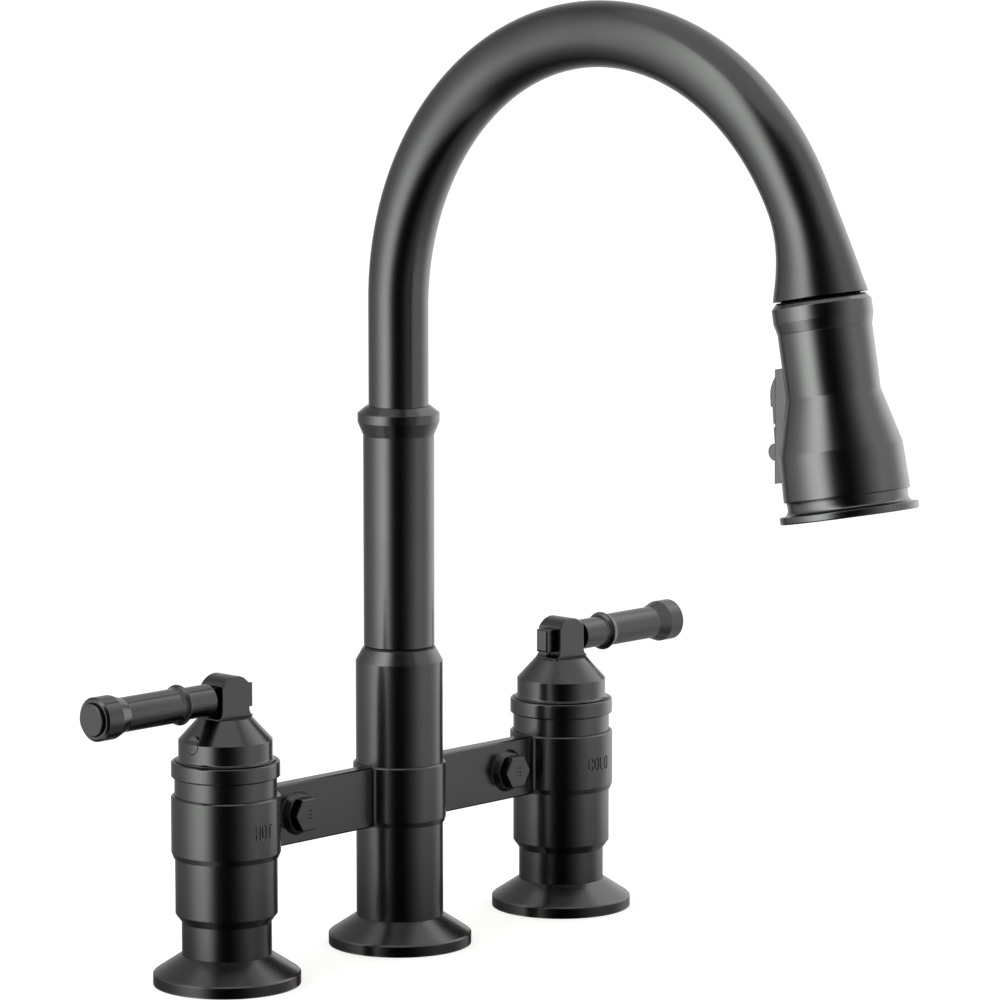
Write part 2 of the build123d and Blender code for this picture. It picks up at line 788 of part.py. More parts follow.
with BuildPart() as spoutCollar:
    with BuildSketch(upright(0)):
        with BuildLine():
            Polyline((postThreadRadius + fitGap, postTop), (postRadius, postTop),
                     (spoutCollarRadius, spoutCollarConeTop), (spoutCollarRadius, spoutCollarEdge),
                     (spoutCollarTopRadius, spoutCollarTop), (socketRadius, spoutCollarTop),
                     (socketRadius, postThreadTop + fitGap),
                     (postThreadRadius + fitGap, postThreadTop + fitGap), close=True)
        make_face()
    revolve(axis=verticalAxis(0))
spoutCollar.part.label = "spout_collar"
export_step(spoutCollar.part, "parts/spout_collar.step")

# ---- Gooseneck ----

frontBendAngle = 180 - spoutTilt - backBendAngle
bendMouth = Vector(0, -backBendRadius, bendStart)
backCentre = Vector(0, -backBendRadius, bendStart)
turnBack = radians(backBendAngle)
backEnd = backCentre + Vector(0, cos(turnBack), sin(turnBack)) * backBendRadius
frontCentre = backEnd - Vector(0, cos(turnBack), sin(turnBack)) * frontBendRadius
turnAll = radians(backBendAngle + frontBendAngle)
frontEnd = frontCentre + Vector(0, cos(turnAll), sin(turnAll)) * frontBendRadius
bellMouth = frontEnd + outletDirection * bellStraight


def alongNeck(length):
    """Point and direction on the neck centreline, at a length from the start of the bend."""
    backLength = backBendRadius * turnBack
    frontLength = frontBendRadius * radians(frontBendAngle)
    if length <= 0:
        return Vector(0, 0, bendStart + length), Vector(0, 0, 1)
    if length <= backLength:
        turn = length / backBendRadius
        centre, radius = backCentre, backBendRadius
    elif length <= backLength + frontLength:
        turn = turnBack + (length - backLength) / frontBendRadius
        centre, radius = frontCentre, frontBendRadius
    else:
        return frontEnd + outletDirection * (length - backLength - frontLength), outletDirection
    return centre + Vector(0, cos(turn), sin(turn)) * radius, Vector(0, -sin(turn), cos(turn))


def neckRadiusAt(length):
    """Outside radius of the tube: slightly fuller over the bend, belled out at the mouth."""
    left = neckLength - length
    if left < bellLength:
        return noseTubeRadius + (bellRadius - noseTubeRadius) * (1 - left / bellLength) ** 1.6
    fuller = bendTubeRadius - neckTubeRadius
    rise = min(1, max(0, length / (backBendRadius * radians(50))))
    fall = min(1, max(0, (length - backBendRadius * radians(100)) / (neckLength - bellLength
                                                                      - backBendRadius * radians(100))))
    return neckTubeRadius + fuller * sin(rise * pi / 2) - (bendTubeRadius - noseTubeRadius) * fall


neckLength = backBendRadius * turnBack + frontBendRadius * radians(frontBendAngle) + bellStraight
bendStations = [neckLength * step / 24 for step in range(21)]
bellStations = [neckLength - bellLength * (1 - step / 6) for step in range(7)]
stations = [length for length in bendStations if length < bellStations[0] - 5] + bellStations


skins = []
for inset in (0, neckWall):
    with BuildPart() as skin:
        for length in stations:
            spot, way = alongNeck(length)
            with BuildSketch(Plane(origin=spot, x_dir=(1, 0, 0), z_dir=way)):
                Circle(neckRadiusAt(length) - inset)
        loft()
        with BuildSketch(Plane.XY.offset(bendStart)):
            Circle(neckTubeRadius - inset)
        extrude(amount=neckSocket - bendStart)
    skins.append(skin.part)

with BuildPart() as neck:
    add(skins[0])
    add(skins[1], mode=Mode.SUBTRACT)
neck.part.label = "gooseneck"
export_step(neck.part, "parts/gooseneck.step")
print("neck", neck.part.volume, len(neck.part.solids()), neck.part.bounding_box())

# Dock magnet inside the bell, coned to the inside of the tube
magnetLow = neckRadiusAt(neckLength - magnetStart) - neckWall - fitGap
magnetHigh = neckRadiusAt(neckLength - magnetStart - magnetLength) - neckWall - fitGap
profilePlane = Plane(origin=bellMouth, x_dir=(1, 0, 0),
                     z_dir=(0, cos(radians(spoutTilt)), -sin(radians(spoutTilt))))
wandAxis = Axis(bellMouth, outletDirection)
magnetSpot, magnetWay = alongNeck(neckLength - magnetStart - magnetLength / 2)
magnetPlane = Plane(origin=magnetSpot, x_dir=(1, 0, 0), z_dir=(0, -magnetWay.Z, magnetWay.Y))
with BuildPart() as magnet:
    with BuildSketch(magnetPlane):
        with BuildLine():
            half = magnetLength / 2
            Polyline((magnetBore, -half), (magnetHigh, -half), (magnetLow, half), (magnetBore, half), close=True)
        make_face()
    revolve(axis=Axis(magnetSpot, magnetWay))
magnet.part.label = "dock_magnet"
export_step(magnet.part, "parts/dock_magnet.step")

# ---- Spray hose, along its real route through column, post and gooseneck ----


def onBend(centre, radius, turn):
    return centre + Vector(0, cos(turn), sin(turn)) * radius


nutTop = hoseNutSeat - hoseNutLength
hoseTop = bellMouth - outletDirection * fitGap
with BuildPart() as hose:
    with BuildLine() as route:
        Line((0, 0, hoseEnd), (0, 0, bendStart))
        ThreePointArc((0, 0, bendStart), onBend(backCentre, backBendRadius, turnBack / 2), backEnd)
        ThreePointArc(backEnd, onBend(frontCentre, frontBendRadius, (turnBack + turnAll) / 2), frontEnd)
        Line(frontEnd, hoseTop)
    with BuildSketch(Plane.XY.offset(hoseEnd)):
        Circle(hoseRadius)
        Circle(hoseBore, mode=Mode.SUBTRACT)
    sweep(path=route.line)
hose.part.label = "spray_hose"
export_step(hose.part, "parts/spray_hose.step")
hoseSection = pi * (hoseRadius ** 2 - hoseBore ** 2)
routeLength = sum(edge.length for edge in route.edges())
print("hose", hose.part.volume, hoseSection * routeLength, routeLength)

with BuildPart() as fitting:
    socketTop = hoseEnd + fittingSocket
    with BuildSketch(upright(0)):
        with BuildLine():
            Polyline((hoseRadius + fitGap, socketTop), (fittingRadius, socketTop),
                     (fittingRadius, hoseEnd - fittingLength + fittingTail),
                     (fittingTailRadius, hoseEnd - fittingLength + fittingTail),
                     (fittingTailRadius, hoseEnd - fittingLength), (hoseBore, hoseEnd - fittingLength),
                     (hoseBore, hoseEnd - fitGap), (hoseRadius + fitGap, hoseEnd - fitGap), close=True)
        make_face()
    revolve(axis=verticalAxis(0))
fitting.part.label = "hose_fitting"
export_step(fitting.part, "parts/hose_fitting.step")

with BuildPart() as hoseNut:
    with BuildSketch(profilePlane):
        with BuildLine():
            Polyline((hoseRadius + fitGap, nutTop), (hoseNutNeck, nutTop), (hoseNutNeck, 0),
                     (hoseNutRadius, 0), (hoseNutRadius, hoseNutSeat), (hoseBore, hoseNutSeat),
                     (hoseBore, 0), (hoseRadius + fitGap, 0), close=True)
        make_face()
    revolve(axis=wandAxis)
hoseNut.part.label = "hose_nut"
export_step(hoseNut.part, "parts/hose_nut.step")

# ---- Spray wand ----

skirtFoot = wandSkirtRadius + wandSkirtFlare
grooveRadius = wandSkirtRadius - grooveStep
lipRadius = wandSkirtRadius + lipProud
faceRadius = wandSkirtRadius - faceStep
panelNear = wandNeckRadius + panelNearProud
panelFar = wandSkirtRadius + panelFarProud
ridgeHeight = wandSkirtRadius + ridgeProud
collarTop = dockGap
collarEdge = collarTop + wandCollarEdge
collarFall = collarEdge + wandCollarCylinder
collarEnd = collarFall + wandCollarFall
neckEnd = collarEnd + wandNeckLength
flareEnd = neckEnd + wandFlareLength
skirtEnd = flareEnd + wandSkirtLength
shellEnd = skirtEnd + shellLap
grooveStart = shellEnd + grooveEntry
grooveEnd = grooveStart + grooveLength
lipTop = grooveEnd + lipConcave
wandEnd = lipTop + lipThickness
shellBore = wandNeckRadius - wandWall
skirtBore = wandSkirtRadius - wandWall
nutSeatEnd = hoseNutSeat + runGap
with BuildPart() as wandCollar:
    with BuildSketch(profilePlane):
        with BuildLine():
            Polyline((hoseNutNeck + fitGap, -dockLength), (dockTipRadius, -dockLength),
                     (dockBaseRadius, collarTop), (wandCollarTopRadius, collarTop),
                     (wandCollarRadius, collarEdge), (wandCollarRadius, collarFall),
                     (wandNeckRadius, collarEnd), (shellBore - fitGap, collarEnd),
                     (shellBore - fitGap, collarEnd + spigotLength),
                     (narrowRadius + fitGap, collarEnd + spigotLength),
                     (narrowRadius + fitGap, nutSeatEnd), (hoseNutRadius + fitGap, nutSeatEnd),
                     (hoseNutRadius + fitGap, -fitGap), (hoseNutNeck + fitGap, -fitGap), close=True)
        make_face()
    revolve(axis=wandAxis)
wandCollar.part.label = "wand_collar"
export_step(wandCollar.part, "parts/wand_collar.step")

with BuildPart() as wandShell:
    with BuildSketch(profilePlane):
        with BuildLine():
            Polyline((shellBore, collarEnd), (wandNeckRadius, collarEnd), (wandNeckRadius, neckEnd),
                     (wandSkirtRadius, flareEnd), (skirtFoot, shellEnd - wandSkirtEdge))
            Bezier((skirtFoot, shellEnd - wandSkirtEdge), (skirtFoot, shellEnd),
                   (skirtFoot - wandSkirtEdge, shellEnd))
            Polyline((skirtFoot - wandSkirtEdge, shellEnd), (skirtBore, shellEnd), (skirtBore, flareEnd),
                     (shellBore, neckEnd), (shellBore, collarEnd))
        make_face()
    revolve(axis=wandAxis)
wandShell.part.label = "wand_shell"
export_step(wandShell.part, "parts/wand_shell.step")

# Water passage: a stepped tube that opens into the chamber behind the face
narrow, middle, wide = narrowRadius, middleRadius, skirtBore - wideStep
first, second, third, last = narrowEnd, middleStart, middleEnd, wideStart
with BuildPart() as waterway:
    with BuildSketch(profilePlane):
        with BuildLine():
            chamberFloor = skirtEnd - fitGap
            Polyline((waterwayBore, nutSeatEnd), (narrow, nutSeatEnd), (narrow, first), (middle, second),
                     (middle, third), (wide, last), (wide, skirtEnd - waterwayWall),
                     (skirtBore - fitGap, skirtEnd - waterwayWall), (skirtBore - fitGap, chamberFloor),
                     (wide - waterwayWall, chamberFloor), (wide - waterwayWall, last),
                     (middle - waterwayWall, third), (middle - waterwayWall, second),
                     (waterwayBore, first), close=True)
        make_face()
    revolve(axis=wandAxis)
waterway.part.label = "wand_waterway"
export_step(waterway.part, "parts/wand_waterway.step")

# Face ring: concave groove and flared lip round the spray face
with BuildPart() as faceRing:
    with BuildSketch(profilePlane):
        with BuildLine():
            shoulder = lipRadius - lipShoulder
            Polyline((faceRadius, skirtEnd), (skirtBore - fitGap, skirtEnd), (skirtBore - fitGap, shellEnd),
                     (skirtFoot - wandSkirtEdge, shellEnd))
            Bezier((skirtFoot - wandSkirtEdge, shellEnd), (grooveRadius, shellEnd), (grooveRadius, grooveStart))
            Line((grooveRadius, grooveStart), (grooveRadius, grooveEnd))
            Bezier((grooveRadius, grooveEnd), (grooveRadius, lipTop), (shoulder, lipTop))
            Bezier((shoulder, lipTop), (lipRadius, lipTop), (lipRadius, lipTop + lipEdge))
            Polyline((lipRadius, lipTop + lipEdge), (lipRadius, wandEnd - lipEdge), (lipRadius - lipEdge, wandEnd),
                     (faceRadius, wandEnd), (faceRadius, skirtEnd))
        make_face()
    revolve(axis=wandAxis)
faceRing.part.label = "face_ring"
export_step(faceRing.part, "parts/face_ring.step")

# Soft spray face with its nozzles round the stream insert
faceSide = wandEnd - faceRecess
facePlane = Plane(origin=bellMouth + outletDirection * faceSide, x_dir=(1, 0, 0), z_dir=outletDirection)
with BuildPart() as sprayFace:
    with BuildSketch(facePlane):
        Circle(faceRadius - fitGap)
        Circle(aeratorRadius, mode=Mode.SUBTRACT)
    extrude(amount=-faceThickness)
    with BuildSketch(facePlane):
        for ring, count in enumerate(nozzleCounts):
            with PolarLocations(innerNozzleRing + ring * nozzlePitch, count):
                Circle(nozzleRadius)
    extrude(amount=nozzleHeight, taper=12)
sprayFace.part.label = "spray_face"
export_step(sprayFace.part, "parts/spray_face.step")

with BuildPart() as stream:
    with BuildSketch(facePlane):
        Circle(aeratorRadius - fitGap)
    extrude(amount=-2 * faceThickness)
    with BuildSketch(facePlane):
        Circle(aeratorHoleWidth / 2)
        with PolarLocations(aeratorRadius * 0.36, 6):
            Circle(aeratorHoleWidth / 2)
        with PolarLocations(aeratorRadius * 0.72, 12):
            Circle(aeratorHoleWidth / 2)
    extrude(amount=-2 * faceThickness, mode=Mode.SUBTRACT)
stream.part.label = "stream_insert"
export_step(stream.part, "parts/stream_insert.step")

# ---- Spray rocker, its panel and pin, on the back of the wand ----

sidePlane = Plane(origin=bellMouth, x_dir=outletDirection, z_dir=(1, 0, 0))


def backing(gap):
    """Outline of the wand body grown by a gap, as a half section about the wand axis."""
    return [(0, 0), (wandNeckRadius + gap, 0), (wandNeckRadius + gap, neckEnd),
            (wandSkirtRadius + gap, flareEnd), (skirtFoot + gap, shellEnd - wandSkirtEdge),
            (0, shellEnd - wandSkirtEdge)]


backs = []
for gap in (fitGap, rockerUnder):
    with BuildPart() as back:
        with BuildSketch(profilePlane):
            with BuildLine():
                Polyline(*backing(gap), close=True)
            make_face()
        revolve(axis=wandAxis)
    backs.append(back.part)

pinBore = pinRadius + fitGap
windowStart = rockerStart - rockerClear
windowEnd = ridgeCentre + ridgeRadius + rockerClear
with BuildPart() as panel:
    with BuildSketch(sidePlane):
        with BuildLine():
            Polyline((panelStart, 0), (panelStart, panelNear), (panelEnd, panelFar), (panelEnd, 0), close=True)
        make_face()
    extrude(amount=panelHalfWidth, both=True)
    add(backs[0], mode=Mode.SUBTRACT)
    # only the side behind the wand is kept
    with BuildSketch(sidePlane):
        with Locations(((panelStart + panelEnd) / 2, (panelFar + wandNeckRadius / 2) / 2)):
            Rectangle(panelEnd - panelStart, panelFar - wandNeckRadius / 2)
    extrude(amount=panelHalfWidth, both=True, mode=Mode.INTERSECT)
    with BuildSketch(sidePlane):
        with Locations(((windowStart + windowEnd) / 2, panelFar / 2)):
            Rectangle(windowEnd - windowStart, 2 * panelFar)
    extrude(amount=rockerHalfWidth + rockerClear, both=True, mode=Mode.SUBTRACT)
    with BuildSketch(sidePlane):
        with Locations((rockerPivot, rockerPivotOut)):
            Circle(pinBore)
    extrude(amount=panelHalfWidth, both=True, mode=Mode.SUBTRACT)
panel.part.label = "rocker_panel"
export_step(panel.part, "parts/rocker_panel.step")
print("panel", panel.part.volume, len(panel.part.solids()))

with BuildPart() as pin:
    with BuildSketch(sidePlane):
        with Locations((rockerPivot, rockerPivotOut)):
            Circle(pinRadius)
    extrude(amount=panelHalfWidth - runGap / 2, both=True)
pin.part.label = "rocker_pin"
export_step(pin.part, "parts/rocker_pin.step")

with BuildPart() as rocker:
    with BuildSketch(sidePlane):
        with BuildLine():
            Polyline((rockerStart, wandNeckRadius), (rockerStart, padNear))
            ThreePointArc((rockerStart, padNear), (padShoulder, padShoulderHeight), (padCrest, padHeight))
            Polyline((padCrest, padHeight), (padLip, padLipHeight), (padStep, padStepHeight), (padEnd, padFar),
                     (ridgeCentre, padFar),
                     (ridgeCentre + ridgeRadius, ridgeHeight),
                     (ridgeCentre + ridgeRadius, wandNeckRadius), (rockerStart, wandNeckRadius))
        make_face()
        with Locations((ridgeCentre, ridgeHeight)):
            Circle(ridgeRadius)
    extrude(amount=rockerHalfWidth, both=True)
    add(backs[1], mode=Mode.SUBTRACT)
    with BuildSketch(sidePlane):
        with Locations((rockerPivot, rockerPivotOut)):
            Circle(pinBore)
    extrude(amount=rockerHalfWidth, both=True, mode=Mode.SUBTRACT)
rocker.part.label = "spray_rocker"
export_step(rocker.part, "parts/spray_rocker.step")
print("rocker", rocker.part.volume, len(rocker.part.solids()))

# ---- Handles ----

hubInner = hubRadius - hubWall
gripStart = blockWidth / 2 + leverGap
footTop = landTop + footThickness
flareTop = footTop + footFlareHeight
for side, name in sides:
    x = side * valveOffset
    leverPlane = Plane(origin=(x, 0, leverHeight), x_dir=(side, 0, 0), z_dir=(0, -side, 0))
    leverAxis = Axis((x, 0, leverHeight), (side, 0, 0))
    plugPlane = Plane(origin=(x, 0, plugHeight), x_dir=(0, side, 0), z_dir=(side, 0, 0))

    # turned hub with a boss for the stem
    with BuildPart() as envelope:
        with BuildSketch(upright(x)):
            with BuildLine():
                Polyline((0, hubBase), (hubRadius, hubBase), (hubRadius, hubShoulder),
                         (landRadius, landTop), (0, landTop), close=True)
            make_face()
        revolve(axis=verticalAxis(x))
    with BuildPart() as hub:
        with BuildSketch(upright(x)):
            with BuildLine():
                hubFoot = hubRadius + hubFlareStep
                Polyline((stemRadius + fitGap, bossFloor), (bossRadius, bossFloor), (bossRadius, bossTop),
                         (cavityTopRadius, bossTop), (hubInner, cavityShoulder), (hubInner, hubBase),
                         (hubFoot, hubBase))
                Bezier((hubFoot, hubBase), (hubRadius, hubBase), (hubRadius, hubBase + hubFlareRise))
                Polyline((hubRadius, hubBase + hubFlareRise), (hubRadius, hubShoulder), (landRadius, landTop),
                         (0, landTop), (0, stemTop + fitGap), (stemRadius + fitGap, stemTop + fitGap),
                         (stemRadius + fitGap, bossFloor))
            make_face()
        revolve(axis=verticalAxis(x))
        with BuildSketch(plugPlane.offset(hubRadius)):
            Circle(plugRadius + plugGroove)
        extrude(amount=-hubWall - runGap, mode=Mode.SUBTRACT)
        with BuildSketch(plugPlane.offset(hubRadius)):
            Circle(setScrewRadius + fitGap)
        extrude(amount=stemRadius - hubRadius, mode=Mode.SUBTRACT)
    hub.part.label = f"{name}_hub"
    export_step(hub.part, f"parts/{name}_hub.step")

    # cap plug over the set screw, flush with the hub
    with BuildPart() as plug:
        with BuildSketch(plugPlane.offset(hubRadius)):
            Circle(plugRadius)
        extrude(amount=-hubWall)
        add(envelope.part, mode=Mode.INTERSECT)
        with BuildSketch(plugPlane.offset(hubRadius - hubWall / 2)):
            Circle(plugRadius + plugGroove - fitGap)
        extrude(amount=-hubWall / 2)
    plug.part.label = f"{name}_hub_plug"
    export_step(plug.part, f"parts/{name}_hub_plug.step")

    with BuildPart() as setScrew:
        with BuildSketch(plugPlane.offset(stemRadius + fitGap)):
            Circle(setScrewRadius)
        extrude(amount=setScrewLength)
        with BuildSketch(plugPlane.offset(stemRadius + fitGap + setScrewLength)):
            RegularPolygon(setScrewRadius / 2, 6)
        extrude(amount=-setScrewLength / 2, mode=Mode.SUBTRACT)
    setScrew.part.label = f"{name}_set_screw"
    export_step(setScrew.part, f"parts/{name}_set_screw.step")

    with BuildPart() as stem:
        with BuildSketch(Plane.XY.offset(stemFoot)):
            with Locations((x, 0)):
                Circle(stemRadius)
        extrude(amount=stemTop - stemFoot)
    stem.part.label = f"{name}_stem"
    export_step(stem.part, f"parts/{name}_stem.step")

    # arched block, its foot spread along the lever
    halfWidth, halfDepth = blockWidth / 2, blockDepth / 2
    with BuildPart() as block:
        with BuildSketch(upright(x)):
            with BuildLine():
                foot = halfWidth + footFlare
                Polyline((-halfWidth, flareTop), (-halfWidth, blockSpring))
                ThreePointArc((-halfWidth, blockSpring), (0, blockCrown), (halfWidth, blockSpring))
                Line((halfWidth, blockSpring), (halfWidth, flareTop))
                Bezier((halfWidth, flareTop), (halfWidth, footTop), (foot, footTop))
                Polyline((foot, footTop), (foot, landTop), (-foot, landTop), (-foot, footTop))
                Bezier((-foot, footTop), (-halfWidth, footTop), (-halfWidth, flareTop))
            make_face()
        extrude(amount=halfDepth, both=True)
        with BuildSketch(Plane.XY.offset(landTop)):
            with Locations((x, 0)):
                Circle(landRadius + footTrim)
        extrude(amount=blockCrown - landTop, mode=Mode.INTERSECT)
        archRims = block.edges().filter_by_position(Axis.Z, flareTop + 1, blockCrown)
        chamfer(archRims.filter_by(GeomType.CIRCLE), blockEdge)
        with BuildSketch(leverPlane):
            Rectangle(4 * halfWidth, leverBarHeight + 2 * fitGap)
        extrude(amount=leverBarDepth / 2 + fitGap, both=True, mode=Mode.SUBTRACT)
    block.part.label = f"{name}_lever_block"
    export_step(block.part, f"parts/{name}_lever_block.step")

    # square bar through the block
    with BuildPart() as leverBar:
        with BuildSketch(leverPlane):
            with Locations(((barReach - halfWidth - nubLength) / 2, 0)):
                Rectangle(barReach + halfWidth + nubLength, leverBarHeight)
        extrude(amount=leverBarDepth / 2, both=True)
        nubEnd = leverBar.faces().sort_by(Axis.X)[-1 if side < 0 else 0]
        fillet(nubEnd.edges(), leverBarEdge)
    leverBar.part.label = f"{name}_lever_bar"
    export_step(leverBar.part, f"parts/{name}_lever_bar.step")

    # turned grip: round root, bead, slim grip and flared cap
    with BuildPart() as grip:
        beadRim = beadStart + beadRise
        beadFoot = beadRim + beadWidth
        with BuildSketch(leverPlane):
            with BuildLine():
                crest, brim = (beadRim + beadFoot) / 2, beadRadius - beadRound
                Polyline((gripStart, 0), (gripStart, rootRadius), (beadStart, rootRadius))
                Bezier((beadStart, rootRadius), (beadRim, rootRadius), (beadRim, brim))
                ThreePointArc((beadRim, brim), (crest, beadRadius), (beadFoot, brim))
                Bezier((beadFoot, brim), (beadFoot + beadFall / 2, gripRadius),
                       (beadFoot + beadFall, gripRadius))
                Polyline((beadFoot + beadFall, gripRadius), (capConeStart, gripRadius), (capConeEnd, capRadius),
                         (leverEnd - capEdge, capRadius), (leverEnd, capRadius - capEdge), (leverEnd, 0),
                         (gripStart, 0))
            make_face()
        revolve(axis=leverAxis)
        with BuildSketch(leverPlane):
            with Locations(((gripStart + barReach + fitGap) / 2, 0)):
                Rectangle(barReach + fitGap - gripStart, leverBarHeight + 2 * fitGap)
        extrude(amount=leverBarDepth / 2 + fitGap, both=True, mode=Mode.SUBTRACT)
        endPlane = Plane(origin=(x + side * leverEnd, 0, leverHeight), x_dir=(0, side, 0), z_dir=(side, 0, 0))
        with BuildSketch(endPlane):
            Circle(endDiscRadius + endDiscGroove)
        extrude(amount=-endDiscDepth - fitGap, mode=Mode.SUBTRACT)
    grip.part.label = f"{name}_grip"
    export_step(grip.part, f"parts/{name}_grip.step")

    with BuildPart() as endDisc:
        with BuildSketch(endPlane.offset(-endDiscDepth)):
            Circle(endDiscRadius)
        extrude(amount=endDiscDepth + endDiscHeight)
        discRim = endDisc.edges().filter_by_position(Axis.X, *sorted((x + side * (leverEnd + endDiscHeight),) * 2))
        chamfer(discRim, endDiscGroove)
        with BuildSketch(endPlane.offset(-endDiscDepth)):
            Circle(endDiscRadius + endDiscGroove - fitGap)
        extrude(amount=endDiscDepth / 2)
    endDisc.part.label = f"{name}_end_disc"
    export_step(endDisc.part, f"parts/{name}_end_disc.step")
print("handles", grip.part.volume, block.part.volume, hub.part.volume)
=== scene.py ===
import math
import bpy
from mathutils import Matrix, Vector


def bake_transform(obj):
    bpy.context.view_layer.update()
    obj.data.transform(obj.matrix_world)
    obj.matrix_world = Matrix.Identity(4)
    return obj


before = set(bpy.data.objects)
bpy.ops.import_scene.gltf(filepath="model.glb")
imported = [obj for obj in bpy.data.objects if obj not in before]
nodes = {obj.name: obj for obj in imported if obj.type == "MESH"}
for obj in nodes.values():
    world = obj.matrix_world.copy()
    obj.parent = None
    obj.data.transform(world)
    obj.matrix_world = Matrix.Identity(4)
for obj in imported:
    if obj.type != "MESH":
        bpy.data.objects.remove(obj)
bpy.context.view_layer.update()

scene = bpy.context.scene
mmPerMetre = 1000
print("frame loaded:", len(nodes), "nodes")


def inRadians(angles):
    return [math.radians(angle) for angle in angles]


# camera, solved from the three columns of the photograph
photoCamera = {
    "place": (-1.43925, -1.40631, 0.46255),
    "turn": (90 - 7.71727, 0, -46.87624),   # degrees
    "lens": 173.66,
    "sensor": 36,
}
cameraData = bpy.data.cameras.new("photoCamera")
cameraData.lens = photoCamera["lens"]
cameraData.sensor_width = photoCamera["sensor"]
camera = bpy.data.objects.new("photoCamera", cameraData)
camera.location = photoCamera["place"]
camera.rotation_euler = inRadians(photoCamera["turn"])
scene.collection.objects.link(camera)
scene.camera = camera


# sRGB hex to linear RGBA
def linearColor(hexCode):
    parts = [int(hexCode[i:i + 2], 16) / 255 for i in (1, 3, 5)]
    return [c / 12.92 if c <= 0.04045 else ((c + 0.055) / 1.055) ** 2.4 for c in parts] + [1]


# adds a node, sets its properties and sockets, and links its sockets to the outputs of others
def addNode(tree, kind, settings=None, links=None):
    node = tree.nodes.new(kind)
    for key, value in (settings or {}).items():
        if isinstance(key, str) and hasattr(node, key):
            setattr(node, key, value)
        else:
            node.inputs[key].default_value = value
    for key, source in (links or {}).items():
        tree.links.new(source, node.inputs[key])
    return node


def newMaterial(name):
    material = bpy.data.materials.new(name)
    material.use_nodes = True
    material.node_tree.nodes.clear()
    return material, material.node_tree


def rampStops(node, stops):
    ramp = node.color_ramp
    while len(ramp.elements) > 1:
        ramp.elements.remove(ramp.elements[0])
    for index, (position, colour) in enumerate(stops):
        stop = ramp.elements[0] if index == 0 else ramp.elements.new(position)
        stop.position = position
        stop.color = colour


def addObject(name, points, faces):
    mesh = bpy.data.meshes.new(name)
    mesh.from_pydata(points, [], faces)
    piece = bpy.data.objects.new(name, mesh)
    scene.collection.objects.link(piece)
    return piece


# four-sided faces between each ring of points and the next
def ringFaces(rings, sides):
    faces = []
    for start in range(0, (rings - 1) * sides, sides):
        for j in range(sides):
            n = (j + 1) % sides
            faces.append((start + j, start + n, start + sides + n, start + sides + j))
    return faces


# object coordinates in millimetres, turned so that local z runs along the piece
def millimetres(tree, turn=(0, 0, 0)):
    place = addNode(tree, "ShaderNodeTexCoord")
    return addNode(tree, "ShaderNodeMapping", {
        "Rotation": inRadians(turn),
        "Scale": (mmPerMetre, mmPerMetre, mmPerMetre),
    }, {"Vector": place.outputs["Object"]})


surfaceDetail = {
    "noiseRange": (0.3, 0.7),     # where most of a noise lies
    "bumpDepth": 0.0002,          # metres, at a bump of 1
    "edgeSamples": 6,
}


# two tones, a range of roughness, a fine bump, and edges that look rounded
def paintSurface(tree, look, share, pattern, height):
    colour = addNode(tree, "ShaderNodeValToRGB", {}, {"Fac": share})
    darkAt, lightAt = look["toneRange"]
    rampStops(colour, ((darkAt, linearColor(look["dark"])), (lightAt, linearColor(look["light"]))))
    noiseLow, noiseHigh = surfaceDetail["noiseRange"]
    low, high = look["roughness"]
    rough = addNode(tree, "ShaderNodeMapRange", {
        "From Min": noiseLow, "From Max": noiseHigh, "To Min": low, "To Max": high}, {"Value": pattern})
    edge = addNode(tree, "ShaderNodeBevel", {
        "samples": surfaceDetail["edgeSamples"], "Radius": look["edge"] / mmPerMetre})
    bump = addNode(tree, "ShaderNodeBump", {
        "Strength": look["bump"], "Distance": surfaceDetail["bumpDepth"]},
        {"Height": height, "Normal": edge.outputs["Normal"]})
    shader = addNode(tree, "ShaderNodeBsdfPrincipled", {"Metallic": look["metallic"]}, {
        "Base Color": colour.outputs["Color"], "Roughness": rough.outputs["Result"],
        "Normal": bump.outputs["Normal"]})
    addNode(tree, "ShaderNodeOutputMaterial", {}, {"Surface": shader.outputs["BSDF"]})


# matt black coating on brushed metal: a satin dark grey whose highlights have soft edges
blackCoat = {
    "light": "#545554",
    "dark": "#4C4D4C",
    "roughness": (0.215, 0.25),
    "lineSpacing": 0.3,       # brush lines, mm
    "cloudSize": 24,          # slow change of tone, mm
    "grain": 0.14,            # fine tooth of the coating, mm
    "bump": 0.002,
    "edge": 0.35,             # radius of the broken edges, mm
    "metallic": 1.0,
    "lineTone": 0.2,          # how far the brush lines and the cloud change the tone
    "cloudTone": 0.4,
    "baseTone": 0.4,
    "toneRange": (0.5, 0.9),
    "grainHeight": 0.25,      # beside the height of the brush lines
}


